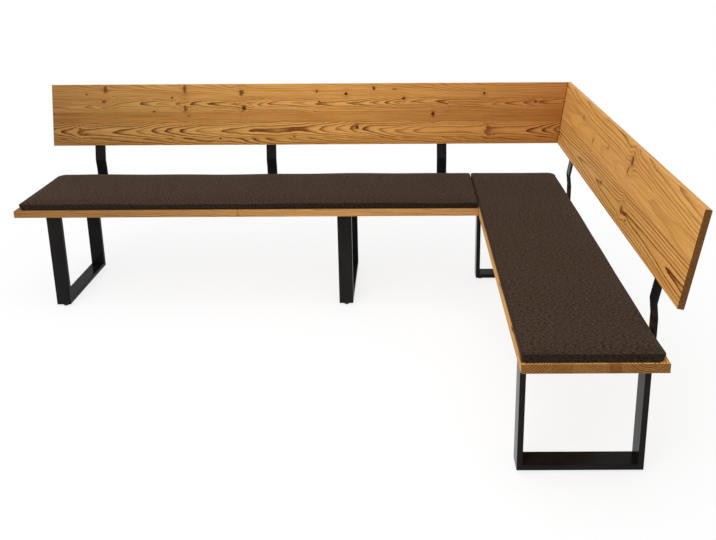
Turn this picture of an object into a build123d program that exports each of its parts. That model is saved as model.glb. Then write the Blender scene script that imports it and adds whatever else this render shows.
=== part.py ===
from build123d import *
import os
from math import cos, radians, sin, tan

# Corner bench: two seat boards on four welded tube skids, with two leaning backrest boards that meet
# in a mitre and stand on bent flat-steel brackets. All sizes are in millimetres.
# Layout: X runs along the long side and is 0 at the short seat's inner edge, Y runs from the seat's
# front edge to its rear edge, and Z is up from the floor. The short side is built in the same layout
# and mirrored in the vertical plane X = Y, which is the plane of the backrest's mitre.

# Seat boards
seat_depth = 400.0
seat_thickness = 30.0
seat_height = 450.0
long_seat_length = 1930.0
short_seat_length = 1493.0
board_edge_round = 2.0

# Backrest boards
backrest_width = 282.0
backrest_thickness = 19.0
backrest_lean = 10.0
backrest_height = 611.0
backrest_setback = 1.0

# Skid tubes, with the distance from a free seat end to the tube's middle
tube_width = 60.0
tube_depth = 18.0
tube_wall = 2.0
tube_corner_round = 2.5
tube_corner_steps = 3
skid_front_inset = 20.0
skid_rear_inset = 2.0
skid_end_inset = 151.0
middle_skid_reach = 560.0
corner_skid_rear_inset = 128.0
top_plate_thickness = 6.0
top_plate_screw_inset = 110.0
top_plate_screw_spread = 34.0

# Levelling feet: a plastic glide on a threaded stud, in a blind rivet nut
foot_height = 12.0
foot_radius = 12.5
foot_sole_radius = 10.5
foot_collar_height = 7.0
foot_sides = 24
foot_inset = 22.0
stud_radius = 4.0
stud_head_radius = 7.5
stud_length = 14.0
stud_head_height = 5.0
nut_radius = 6.5
nut_height = 11.0
nut_sides = 6
thread_sides = 12
thread_clearance = 0.1
nut_clearance = 0.1

# Backrest brackets, let into the backrest's rear face and the seat's underside
bracket_width = 45.0
bracket_thickness = 8.0
bracket_standoff = 5.5
bracket_foot_length = 90.0
bracket_bend_rise = 43.0
bracket_knee_rise = 91.0
bracket_arm_length = 205.0
bracket_bend_radius = 14.0
left_bracket_end_inset = 209.0
middle_bracket_reach = 925.0
inner_bracket_reach = 133.0
corner_bracket_rear_inset = 234.0
end_bracket_end_inset = 172.0
groove_clearance = 0.2

# Countersunk wood screws
screw_head_radius = 4.5
screw_radius = 2.25
screw_clearance = 0.1
screw_sides = 8
skid_screw_length = 28.0
foot_screw_length = 24.0
foot_screw_inset = 18.0
foot_screw_pitch = 40.0
arm_screw_length = 15.0
arm_screw_inset = 25.0
arm_screw_pitch = 70.0
arm_screw_count = 3
foot_screw_count = 2

# Joint between the two seat boards, and dowels in the backrest's mitre
joint_plate_length = 120.0
joint_plate_width = 40.0
joint_plate_thickness = 4.0
joint_plate_skid_gap = 32.0
joint_plate_pitch = 110.0
joint_plate_count = 2
joint_screw_length = 25.0
joint_screw_inset = 15.0
joint_screw_pitch = 26.0
dowel_radius = 3.0
dowel_sides = 12
dowel_length = 16.0
dowel_end_inset = 45.0
dowel_count = 3
dowel_clearance = 0.1

# Seat pads: a foam core in a sewn cover, lying loose on the boards
pad_thickness = 28.0
pad_crown = 4.0
pad_edge_radius = 8.0
pad_edge_sweep = 78.0
pad_edge_steps = 4
pad_crown_run = 90.0
pad_crown_steps = 2
pad_corner_radius = 22.0
pad_corner_steps = 4
pad_front_inset = 5.0
pad_rear_inset = 9.0
long_pad_end_inset = 16.0
short_pad_end_inset = 5.0
pad_joint_gap = 2.0
cover_thickness = 1.2
soft_clearance = 0.3

# Levels and places that follow from the sizes above
seat_underside = seat_height - seat_thickness
top_plate_underside = seat_underside - top_plate_thickness
skid_front = skid_front_inset
skid_rear = seat_depth - skid_rear_inset
short_seat_front = seat_depth - short_seat_length
lean = radians(backrest_lean)
backrest_foot = (seat_depth + backrest_setback, backrest_height)
up_board = (sin(lean), cos(lean))
through_board = (cos(lean), -sin(lean))
groove_level = backrest_thickness - bracket_thickness
mitre_plane = Plane(origin=(0, 0, 0), z_dir=(1, -1, 0))

skid_runs = {
    "left": -long_seat_length + skid_end_inset,
    "middle": -middle_skid_reach,
    "corner": seat_depth - corner_skid_rear_inset,
    "end": short_seat_front + skid_end_inset,
}
bracket_runs = {
    "left": -long_seat_length + left_bracket_end_inset,
    "middle": -middle_bracket_reach,
    "inner": -inner_bracket_reach,
    "corner": seat_depth - corner_bracket_rear_inset,
    "end": short_seat_front + end_bracket_end_inset,
}
short_side = ("corner", "end")


def placed(name, solid):
    # Pieces of the short side are the long side's layout mirrored in the mitre plane.
    return mirror(solid, about=mitre_plane) if name in short_side else solid


def board_point(along, depth):
    # A point of the backrest's cross-section: up the board from its lower edge, and in from its face.
    return (
        backrest_foot[0] + along * up_board[0] + depth * through_board[0],
        backrest_foot[1] + along * up_board[1] + depth * through_board[1],
    )


def across(outline, width, middle):
    # A closed outline in the depth-height plane, made solid over a width about a place along the run.
    face = Plane.YZ * make_face(outline)
    return Pos(middle - width / 2, 0, 0) * extrude(face, amount=width, dir=(1, 0, 0))


def rounded_face(width, depth, radius, steps):
    # A rectangle whose corners turn in a few short flats.
    in_x = width / 2 - radius
    in_y = depth / 2 - radius
    outline = []
    for quarter, (way_x, way_y) in enumerate(((1, 1), (-1, 1), (-1, -1), (1, -1))):
        for i in range(steps + 1):
            turn = radians(90 * (quarter + i / steps))
            outline.append((way_x * in_x + radius * cos(turn), way_y * in_y + radius * sin(turn)))
    return make_face(Polyline(*outline, close=True))


def upright_places(runs, depths, level):
    # Places of screws that are driven straight up into a seat board.
    return [Pos(run, depth, level) for depth in depths for run in runs]


# Countersunk screw, with its head's flat top at Z 0 and its shank pointing up

def screw(length, grow=0.0):
    head = screw_head_radius + grow
    shank = screw_radius + grow
    rims = [(0, head), (head - shank, shank), (length + grow, shank)]
    return loft([Pos(0, 0, z) * RegularPolygon(radius, screw_sides) for z, radius in rims], ruled=True)


def screws(places, length, grow=0.0):
    return [place * screw(length, grow) for place in places]


# Backrest brackets

def bracket_line():
    # Upper and front line of the bent bar, from its foot under the seat to its arm behind the backrest.
    limb = seat_depth + bracket_standoff
    foot_top = seat_underside + bracket_thickness
    knee_height = seat_height + bracket_knee_rise
    arm_start = board_point(0, groove_level)
    knee = arm_start[0] + (knee_height - arm_start[1]) * tan(lean)
    return [
        (seat_depth - bracket_foot_length, foot_top),
        (limb, foot_top),
        (limb, seat_height + bracket_bend_rise),
        (knee, knee_height),
        board_point(bracket_arm_length, groove_level),
    ]


def shifted_line(points, distance):
    # The same bent line moved to the right of its direction.
    normals = []
    for start, end in zip(points, points[1:]):
        step = Vector(end[0] - start[0], end[1] - start[1]).normalized()
        normals.append(Vector(step.Y, -step.X))
    shifts = [normals[0]]
    for before, after in zip(normals, normals[1:]):
        middle = (before + after).normalized()
        shifts.append(middle / middle.dot(before))
    shifts.append(normals[-1])
    return [(p[0] + s.X * distance, p[1] + s.Y * distance) for p, s in zip(points, shifts)]


def bracket_bar(run):
    front = bracket_line()
    rear = shifted_line(front, bracket_thickness)
    tight = (bracket_standoff, bracket_bend_radius, bracket_bend_radius)
    wide = [radius + bracket_thickness for radius in tight]
    front_edge = FilletPolyline(*front, radius=[tight[0], tight[1], wide[2]])
    rear_edge = FilletPolyline(*rear, radius=[wide[0], wide[1], tight[2]])
    ends = [Line(front[0], rear[0]), Line(front[-1], rear[-1])]
    return across(front_edge + rear_edge + ends, bracket_width, run)


def bracket_grooves(run):
    # Room for the foot in the seat's underside and for the arm in the backrest's rear face.
    width = bracket_width + 2 * groove_clearance
    tip = seat_depth - bracket_foot_length - groove_clearance
    beyond = seat_depth + bracket_standoff
    top = seat_underside + bracket_thickness
    foot = Polyline((tip, 0), (beyond, 0), (beyond, top), (tip, top), close=True)
    arm_top = bracket_arm_length + groove_clearance
    arm = Polyline(
        board_point(-bracket_knee_rise, groove_level),
        board_point(arm_top, groove_level),
        board_point(arm_top, backrest_thickness + bracket_thickness),
        board_point(-bracket_knee_rise, backrest_thickness + bracket_thickness),
        close=True,
    )
    return across(foot, width, run), across(arm, width, run)


def foot_screw_places(run):
    tip = seat_depth - bracket_foot_length
    depths = [tip + foot_screw_inset + i * foot_screw_pitch for i in range(foot_screw_count)]
    return upright_places([run], depths, seat_underside)


def arm_screw_places(run):
    # Driven forward through the arm, square to the backrest.
    places = []
    for i in range(arm_screw_count):
        y, z = board_point(bracket_arm_length - arm_screw_inset - i * arm_screw_pitch, backrest_thickness)
        places.append(Pos(run, y, z) * Rot(90 - backrest_lean, 0, 0))
    return places


# Skids: two posts and a floor rail of rectangular tube, mitred and welded, under a flat top plate

def tube(length):
    outside = rounded_face(tube_width, tube_depth, tube_corner_round, tube_corner_steps)
    inside = Rectangle(tube_width - 2 * tube_wall, tube_depth - 2 * tube_wall)
    return extrude(outside - inside, amount=length)


def skid_pieces(run):
    front_mitre = Plane(origin=(run, skid_front, foot_height), x_dir=(1, 0, 0), z_dir=(0, -1, 1))
    rear_mitre = Plane(origin=(run, skid_rear, foot_height), x_dir=(1, 0, 0), z_dir=(0, 1, 1))
    post = tube(top_plate_underside - foot_height)
    front_post = Pos(run, skid_front + tube_depth / 2, foot_height) * post
    rear_post = Pos(run, skid_rear - tube_depth / 2, foot_height) * post
    rail = Pos(run, skid_rear, foot_height + tube_depth / 2) * Rot(90, 0, 0) * tube(skid_rear - skid_front)
    for mitre in (front_mitre, rear_mitre):
        rail = split(rail, bisect_by=mitre, keep=Keep.BOTTOM)
    nut_room = extrude(RegularPolygon(nut_radius + nut_clearance, nut_sides), foot_height + nut_height)
    for place in foot_places(run):
        rail -= place * nut_room
    plate = Pos(run, (skid_front + skid_rear) / 2, (top_plate_underside + seat_underside) / 2) * Box(
        tube_width, skid_rear - skid_front, top_plate_thickness
    )
    for hole in screws(skid_screw_places(run), skid_screw_length, screw_clearance):
        plate -= hole
    return {
        "front_post": split(front_post, bisect_by=front_mitre, keep=Keep.TOP),
        "rear_post": split(rear_post, bisect_by=rear_mitre, keep=Keep.TOP),
        "floor_rail": rail,
        "top_plate": plate,
    }


def skid_screw_places(run):
    runs = (run - top_plate_screw_spread / 2, run + top_plate_screw_spread / 2)
    depths = (skid_front + top_plate_screw_inset, skid_rear - top_plate_screw_inset)
    return upright_places(runs, depths, top_plate_underside)


# Levelling feet

def foot_places(run):
    return [Pos(run, skid_front + foot_inset, 0), Pos(run, skid_rear - foot_inset, 0)]


def glide():
    # A collar above a slightly tapered sole, with a socket for the stud's hexagonal head.
    sole_height = foot_height - foot_collar_height
    rims = [(0, foot_sole_radius), (sole_height, foot_radius), (foot_height, foot_radius)]
    return loft([Pos(0, 0, z) * RegularPolygon(r, foot_sides) for z, r in rims], ruled=True) - stud_head()


def stud_head():
    return Pos(0, 0, foot_height - stud_head_height) * extrude(
        RegularPolygon(stud_head_radius, nut_sides), stud_head_height
    )


def stud():
    # A hexagonal head, flush with the top of the glide that is moulded round it, and a threaded shank.
    shank = extrude(RegularPolygon(stud_radius, thread_sides), stud_length)
    return stud_head() + Pos(0, 0, foot_height) * shank


def rivet_nut():
    # A hexagonal sleeve, flush with the rail's underside, with the thread for the stud.
    thread = RegularPolygon(stud_radius + thread_clearance, thread_sides)
    return Pos(0, 0, foot_height) * extrude(RegularPolygon(nut_radius, nut_sides) - thread, nut_height)


# Joint plates under the butt joint of the seat boards

def joint_plate_depths():
    # Counted forward from the corner skid, whose top plate crosses the joint behind them.
    nearest = skid_runs["corner"] - tube_width / 2 - joint_plate_skid_gap - joint_plate_width / 2
    return [nearest - i * joint_plate_pitch for i in range(joint_plate_count)]


def joint_screw_places():
    outer = joint_plate_length / 2 - joint_screw_inset
    runs = (-outer, -outer + joint_screw_pitch, outer - joint_screw_pitch, outer)
    return upright_places(runs, joint_plate_depths(), seat_underside - joint_plate_thickness)


def joint_plates():
    holes = screws(joint_screw_places(), joint_screw_length, screw_clearance)
    plates = []
    for depth in joint_plate_depths():
        plate = Pos(0, depth, seat_underside - joint_plate_thickness / 2) * Box(
            joint_plate_length, joint_plate_width, joint_plate_thickness
        )
        plates.append(plate - holes)
    return plates


# Dowels across the backrest's mitre

def mitre_dowels(grow=0.0):
    dowels = []
    step = (backrest_width - 2 * dowel_end_inset) / (dowel_count - 1)
    for i in range(dowel_count):
        reach, height = board_point(dowel_end_inset + i * step, backrest_thickness / 2)
        middle = Plane(origin=(reach, reach, height), z_dir=(1, -1, 0)).location
        half = extrude(RegularPolygon(dowel_radius + grow, dowel_sides), dowel_length / 2 + grow, both=True)
        dowels.append(middle * half)
    return dowels


# Boards

def seat_board(x_low, x_high, y_low, y_high):
    board = Pos((x_low + x_high) / 2, (y_low + y_high) / 2, seat_height - seat_thickness / 2) * Box(
        x_high - x_low, y_high - y_low, seat_thickness
    )
    return fillet(board.edges().group_by(Axis.Z)[0] + board.edges().group_by(Axis.Z)[-1], board_edge_round)


def backrest_board(length):
    # Leaning board from the free end to the mitre.
    section = Polyline(
        board_point(0, 0),
        board_point(backrest_width, 0),
        board_point(backrest_width, backrest_thickness),
        board_point(0, backrest_thickness),
        close=True,
    )
    overrun = 2 * seat_depth
    board = across(section, length + overrun, (overrun - length) / 2)
    board = fillet(board.edges().filter_by(Axis.X), board_edge_round)
    return split(board, bisect_by=mitre_plane, keep=Keep.BOTTOM)


# Seat pads: rounded edges and corners, and a low crown

def pad_form(length, width, shrink):
    # Sections from the flat underside, round the edge and up to the crown, taken in by a thickness.
    edge_height = (pad_thickness - pad_crown) / 2
    sections = []
    for i in range(pad_edge_steps):
        angle = radians(pad_edge_sweep * (2 * i / (pad_edge_steps - 1) - 1))
        rise = sin(angle) / sin(radians(pad_edge_sweep))
        sections.append((pad_edge_radius * (1 - cos(angle)), edge_height + (edge_height - shrink) * rise))
    edge_inset, edge_top = sections[-1]
    for i in range(1, pad_crown_steps + 1):
        share = i / pad_crown_steps
        sections.append((edge_inset + pad_crown_run * share, edge_top + pad_crown * (1 - (1 - share) ** 2)))
    faces = []
    for inset, level in sections:
        taken = 2 * (inset + shrink)
        face = rounded_face(length - taken, width - taken, pad_corner_radius, pad_corner_steps)
        faces.append(Pos(0, 0, level) * face)
    return loft(faces, ruled=True)


def pad(x_low, x_high, y_low, y_high):
    place = Pos((x_low + x_high) / 2, (y_low + y_high) / 2, seat_height + soft_clearance)
    length = x_high - x_low
    width = y_high - y_low
    cover = pad_form(length, width, 0) - pad_form(length, width, cover_thickness)
    foam = pad_form(length, width, cover_thickness + soft_clearance)
    return place * cover, place * foam


# The whole bench, one entry for each piece or group of like pieces

pieces = {}
seat_cuts = {"long": [], "short": []}
backrest_cuts = {"long": [], "short": []}
groups = {"skid_screws": [], "bracket_foot_screws": [], "bracket_arm_screws": [], "foot_rivet_nuts": []}

for name, run in skid_runs.items():
    side = "short" if name in short_side else "long"
    for piece, solid in skid_pieces(run).items():
        pieces[f"{name}_skid_{piece}"] = placed(name, solid)
    places = skid_screw_places(run)
    groups["skid_screws"] += [placed(name, s) for s in screws(places, skid_screw_length)]
    seat_cuts[side] += [placed(name, s) for s in screws(places, skid_screw_length, screw_clearance)]
    for end, place in zip(("front", "rear"), foot_places(run)):
        pieces[f"{name}_skid_{end}_foot_glide"] = placed(name, place * glide())
        pieces[f"{name}_skid_{end}_foot_stud"] = placed(name, place * stud())
        groups["foot_rivet_nuts"].append(placed(name, place * rivet_nut()))

for name, run in bracket_runs.items():
    side = "short" if name in short_side else "long"
    bar = bracket_bar(run)
    foot_groove, arm_groove = bracket_grooves(run)
    foot_holes = screws(foot_screw_places(run), foot_screw_length, screw_clearance)
    arm_holes = screws(arm_screw_places(run), arm_screw_length, screw_clearance)
    pieces[f"{name}_backrest_bracket"] = placed(name, bar - foot_holes - arm_holes)
    seat_cuts[side] += [placed(name, s) for s in (foot_groove, *foot_holes)]
    backrest_cuts[side] += [placed(name, s) for s in (arm_groove, *arm_holes)]
    foot_screws = screws(foot_screw_places(run), foot_screw_length)
    arm_screws = screws(arm_screw_places(run), arm_screw_length)
    groups["bracket_foot_screws"] += [placed(name, s) for s in foot_screws]
    groups["bracket_arm_screws"] += [placed(name, s) for s in arm_screws]

groups["seat_joint_plates"] = joint_plates()
groups["seat_joint_screws"] = screws(joint_screw_places(), joint_screw_length)
groups["mitre_dowels"] = mitre_dowels()
joint_holes = screws(joint_screw_places(), joint_screw_length, screw_clearance)
dowel_holes = mitre_dowels(dowel_clearance)

pieces["long_seat_board"] = seat_board(-long_seat_length, 0, 0, seat_depth) - seat_cuts["long"] - joint_holes
pieces["short_seat_board"] = (
    seat_board(0, seat_depth, short_seat_front, seat_depth) - seat_cuts["short"] - joint_holes
)
pieces["long_backrest_board"] = backrest_board(long_seat_length) - backrest_cuts["long"] - dowel_holes
pieces["short_backrest_board"] = (
    mirror(backrest_board(-short_seat_front), about=mitre_plane) - backrest_cuts["short"] - dowel_holes
)

pad_rear = seat_depth - pad_rear_inset
pieces["long_pad_cover"], pieces["long_pad_foam"] = pad(
    -long_seat_length + long_pad_end_inset, -pad_joint_gap / 2, pad_front_inset, pad_rear
)
pieces["short_pad_cover"], pieces["short_pad_foam"] = pad(
    pad_joint_gap / 2, pad_rear, short_seat_front + short_pad_end_inset, pad_rear
)
for name, solids in groups.items():
    pieces[name] = Compound([solid for shape in solids for solid in shape.solids()])

# The part's origin is on the floor, under the middle of the whole bench.
whole = pieces["long_backrest_board"].bounding_box().add(pieces["short_backrest_board"].bounding_box())
origin = Vector(whole.center().X, whole.center().Y, 0)

os.makedirs("parts", exist_ok=True)
for name, shape in pieces.items():
    export_step(Pos(-origin) * shape, f"parts/{name}.step")
print(len(pieces), "pieces, origin at", origin)
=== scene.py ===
import math

import bmesh
import bpy
import numpy as np
from mathutils import Matrix, Vector


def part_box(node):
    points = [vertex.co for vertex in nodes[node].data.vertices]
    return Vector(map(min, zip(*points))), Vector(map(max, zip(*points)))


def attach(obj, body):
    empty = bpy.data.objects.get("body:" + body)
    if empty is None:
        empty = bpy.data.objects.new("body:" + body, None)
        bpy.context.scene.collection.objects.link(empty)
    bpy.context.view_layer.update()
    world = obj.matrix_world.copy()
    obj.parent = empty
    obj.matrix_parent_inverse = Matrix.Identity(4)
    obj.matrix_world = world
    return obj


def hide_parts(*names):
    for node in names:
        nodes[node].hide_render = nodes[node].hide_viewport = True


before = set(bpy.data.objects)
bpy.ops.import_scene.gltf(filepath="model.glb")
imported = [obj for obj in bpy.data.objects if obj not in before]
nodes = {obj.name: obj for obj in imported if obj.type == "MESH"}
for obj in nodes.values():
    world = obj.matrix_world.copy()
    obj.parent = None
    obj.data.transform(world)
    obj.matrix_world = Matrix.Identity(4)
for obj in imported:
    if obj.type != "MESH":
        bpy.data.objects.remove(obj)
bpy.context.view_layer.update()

scene = bpy.context.scene
scene.view_settings.view_transform = "Standard"


# Small helpers for node trees

def feed(tree, socket, value):
    if isinstance(value, bpy.types.NodeSocket):
        tree.links.new(value, socket)
    else:
        socket.default_value = value


def calc(tree, operation, *values):
    node = tree.nodes.new("ShaderNodeMath")
    node.operation = operation
    for socket, value in zip(node.inputs, values):
        feed(tree, socket, value)
    return node.outputs[0]


def times(tree, first, second):
    return calc(tree, "MULTIPLY", first, second)


def vectorCalc(tree, operation, *values):
    node = tree.nodes.new("ShaderNodeVectorMath")
    node.operation = operation
    for socket, value in zip(node.inputs, values):
        feed(tree, socket, value)
    return node.outputs["Value" if operation in ("LENGTH", "DOT_PRODUCT") else "Vector"]


def split(tree, vector):
    node = tree.nodes.new("ShaderNodeSeparateXYZ")
    feed(tree, node.inputs[0], vector)
    return node.outputs


def combine(tree, *values):
    node = tree.nodes.new("ShaderNodeCombineXYZ")
    for socket, value in zip(node.inputs, values):
        feed(tree, socket, value)
    return node.outputs[0]


def noise(tree, place, detail=2.0, roughness=0.5):
    # Noise of scale 1, from 0 to 1 about 0.5: the place is scaled before it comes in.
    node = tree.nodes.new("ShaderNodeTexNoise")
    feed(tree, node.inputs["Vector"], place)
    node.inputs["Scale"].default_value = 1.0
    node.inputs["Detail"].default_value = detail
    node.inputs["Roughness"].default_value = roughness
    return node.outputs[0]


def randomOf(tree, *values):
    # Three steady random numbers for each whole-number place.
    node = tree.nodes.new("ShaderNodeTexWhiteNoise")
    node.noise_dimensions = "3D"
    feed(tree, node.inputs["Vector"], combine(tree, *values))
    parts = tree.nodes.new("ShaderNodeSeparateColor")
    tree.links.new(node.outputs["Color"], parts.inputs[0])
    return parts.outputs


def scaledNoise(tree, place, scale, detail=2.0, roughness=0.5):
    return noise(tree, vectorCalc(tree, "MULTIPLY", place, scale), detail, roughness)


def swing(tree, value, reach, base):
    # Moves a base by noise, up to half the reach each way.
    return calc(tree, "MULTIPLY_ADD", calc(tree, "SUBTRACT", value, 0.5), reach, base)


def ease(tree, value, low, high):
    # 0 below low and 1 above high, smooth between.
    node = tree.nodes.new("ShaderNodeMapRange")
    node.interpolation_type = "SMOOTHSTEP"
    feed(tree, node.inputs["Value"], value)
    feed(tree, node.inputs["From Min"], low)
    feed(tree, node.inputs["From Max"], high)
    return node.outputs[0]


def inverse(tree, share):
    return calc(tree, "SUBTRACT", 1.0, share)


def apart(tree, first, second):
    return calc(tree, "ABSOLUTE", calc(tree, "SUBTRACT", first, second))


def either(tree, share, first, second):
    # The first value where the share is 1, and the second where it is 0.
    kept = times(tree, share, first)
    return calc(tree, "ADD", kept, times(tree, inverse(tree, share), second))


def feedColour(tree, socket, colour):
    feed(tree, socket, colour if isinstance(colour, bpy.types.NodeSocket) else (*colour, 1.0))


def mixColour(tree, share, first, second, blend="MIX"):
    node = tree.nodes.new("ShaderNodeMix")
    node.data_type = "RGBA"
    node.blend_type = blend
    feed(tree, node.inputs["Factor"], share)
    feedColour(tree, node.inputs["A"], first)
    feedColour(tree, node.inputs["B"], second)
    return node.outputs["Result"]


def ramp(tree, value, stops):
    # Colours between stops, each a place from 0 to 1 and a colour.
    node = tree.nodes.new("ShaderNodeValToRGB")
    feed(tree, node.inputs[0], value)
    elements = node.color_ramp.elements
    elements[0].position, elements[0].color = stops[0][0], (*stops[0][1], 1.0)
    elements[1].position, elements[1].color = stops[-1][0], (*stops[-1][1], 1.0)
    for position, colour in stops[1:-1]:
        elements.new(position).color = (*colour, 1.0)
    return node.outputs["Color"]


def stepped(tree, passed, values):
    # The first value, and the next one wherever the next border has been passed.
    result = values[0]
    for border, before, after in zip(passed, values, values[1:]):
        result = calc(tree, "MULTIPLY_ADD", border, after - before, result)
    return result


def newGroup(name, inputs, outputs):
    tree = bpy.data.node_groups.new(name, "ShaderNodeTree")
    for way, sockets in (("INPUT", inputs), ("OUTPUT", outputs)):
        for label, kind in sockets.items():
            tree.interface.new_socket(label, in_out=way, socket_type="NodeSocket" + kind)
    given = tree.nodes.new("NodeGroupInput").outputs
    result = tree.nodes.new("NodeGroupOutput").inputs
    return tree, given, result


def useGroup(tree, group, **values):
    node = tree.nodes.new("ShaderNodeGroup")
    node.node_tree = group
    for label, value in values.items():
        feed(tree, node.inputs[label], value)
    return node.outputs


def newMaterial(name, **constants):
    # A Principled material, with its plain values set on the shader's own sockets.
    material = bpy.data.materials.new(name)
    material.use_nodes = True
    tree = material.node_tree
    shader = tree.nodes["Principled BSDF"]
    for label, value in constants.items():
        shader.inputs[label].default_value = value
    return material, tree, shader


def objectPlace(tree):
    return tree.nodes.new("ShaderNodeTexCoord").outputs["Object"]


def bump(tree, shader, height, distance, strength=1.0):
    node = tree.nodes.new("ShaderNodeBump")
    node.inputs["Distance"].default_value = distance
    node.inputs["Strength"].default_value = strength
    feed(tree, node.inputs["Height"], height)
    tree.links.new(node.outputs[0], shader.inputs["Normal"])


# Small helpers for pieces, and for geometry trees that make what repeats

def bake(piece):
    # Applies every modifier to the mesh.
    depsgraph = bpy.context.evaluated_depsgraph_get()
    mesh = bpy.data.meshes.new_from_object(piece.evaluated_get(depsgraph))
    piece.modifiers.clear()
    piece.data = mesh


def newPiece(name, points, faces, edges=()):
    mesh = bpy.data.meshes.new(name)
    mesh.from_pydata(points, edges, faces)
    piece = bpy.data.objects.new(name, mesh)
    scene.collection.objects.link(piece)
    return piece


def readPoints(piece):
    points = np.empty(len(piece.data.vertices) * 3)
    piece.data.vertices.foreach_get("co", points)
    return points.reshape(-1, 3)


def writePoints(piece, points):
    piece.data.vertices.foreach_set("co", points.ravel())
    piece.data.update()


def newShapeTree(name, sizes, **others):
    # A geometry tree with a named input for each of its sizes, and for its material.
    inputs = {**dict.fromkeys(sizes, "Float"), **others, "Material": "Material"}
    tree = bpy.data.node_groups.new(name, "GeometryNodeTree")
    tree.interface.new_socket("Geometry", in_out="INPUT", socket_type="NodeSocketGeometry")
    for label, kind in inputs.items():
        tree.interface.new_socket(label, in_out="INPUT", socket_type="NodeSocket" + kind)
    tree.interface.new_socket("Geometry", in_out="OUTPUT", socket_type="NodeSocketGeometry")
    return tree, tree.nodes.new("NodeGroupInput").outputs


def shapeNode(tree, kind, inputs, **settings):
    node = tree.nodes.new("GeometryNode" + kind)
    for label, value in settings.items():
        setattr(node, label, value)
    for label, value in inputs.items():
        feed(tree, node.inputs[label], value)
    return node.outputs[0]


def facing(tree, vector):
    # The turn that points an instance's Z along a vector.
    node = tree.nodes.new("FunctionNodeAlignRotationToVector")
    node.axis = "Z"
    feed(tree, node.inputs["Vector"], vector)
    return node.outputs[0]


def endTree(tree, material, *shapes):
    # Joins the shapes, makes them real and gives them their material.
    join = tree.nodes.new("GeometryNodeJoinGeometry")
    for shape in reversed(shapes):
        tree.links.new(shape, join.inputs[0])
    solid = shapeNode(tree, "RealizeInstances", {"Geometry": join.outputs[0]})
    solid = shapeNode(tree, "SetMaterial", {"Geometry": solid, "Material": material})
    tree.links.new(solid, tree.nodes.new("NodeGroupOutput").inputs[0])


def grow(piece, tree, values):
    # Runs a tree on a piece and keeps the result as its plain mesh.
    modifier = piece.modifiers.new(tree.name, "NODES")
    modifier.node_group = tree
    for item in tree.interface.items_tree:
        if item.in_out == "INPUT" and item.name in values:
            modifier[item.identifier] = values[item.name]
    bake(piece)


# Oiled pine: a solid texture of growth rings in glued lamellas, with knots

knotForm = {
    "raggedScale": (95.0, 150.0, 60.0), "ragged": 2.3,
    "coreEdge": (0.35, 1.20), "fade": 0.16, "push": 0.8,
}


def makeKnotGroup():
    # One knot: it bends the grain round itself and adds its dark core and its stained surround.
    tree, given, result = newGroup(
        "pineKnot",
        {"Place": "Vector", "Bent": "Vector", "Core": "Float", "Surround": "Float",
         "Along": "Float", "Across": "Float", "Size": "Float", "Tall": "Float", "Dark": "Float"},
        {"Bent": "Vector", "Core": "Float", "Surround": "Float"},
    )
    along, across = split(tree, given["Place"])[:2]
    offAlong = calc(tree, "SUBTRACT", along, given["Along"])
    offAcross = calc(tree, "SUBTRACT", across, given["Across"])
    high = calc(tree, "DIVIDE", offAcross, given["Tall"])
    reach = vectorCalc(tree, "LENGTH", combine(tree, offAlong, high, 0.0))
    ragged = scaledNoise(tree, given["Place"], knotForm["raggedScale"], 4.0, 0.7)
    distance = swing(tree, ragged, knotForm["ragged"], calc(tree, "DIVIDE", reach, given["Size"]))
    core = inverse(tree, ease(tree, distance, *knotForm["coreEdge"]))
    core = times(tree, core, given["Dark"])
    falloff = times(tree, times(tree, distance, distance), -knotForm["fade"])
    surround = calc(tree, "EXPONENT", falloff)
    push = times(tree, times(tree, offAcross, surround), -knotForm["push"])
    bent = vectorCalc(tree, "ADD", given["Bent"], combine(tree, 0.0, push, 0.0))
    tree.links.new(bent, result["Bent"])
    tree.links.new(calc(tree, "MAXIMUM", given["Core"], core), result["Core"])
    tree.links.new(calc(tree, "MAXIMUM", given["Surround"], surround), result["Surround"])
    return tree


ringForm = {
    "waverRate": 1.9, "swayRate": 2.3, "sway": 0.05,
    "rippleScale": (9.0, 45.0, 45.0), "ripple": 0.005,
    "lateStart": 0.30, "lateEnd": 0.90, "weakest": 0.4,
    "thinning": 350.0, "thinBase": -0.3,
    "fibreScale": (14.0, 900.0, 900.0), "streakScale": (2.4, 110.0, 110.0),
}


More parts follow.
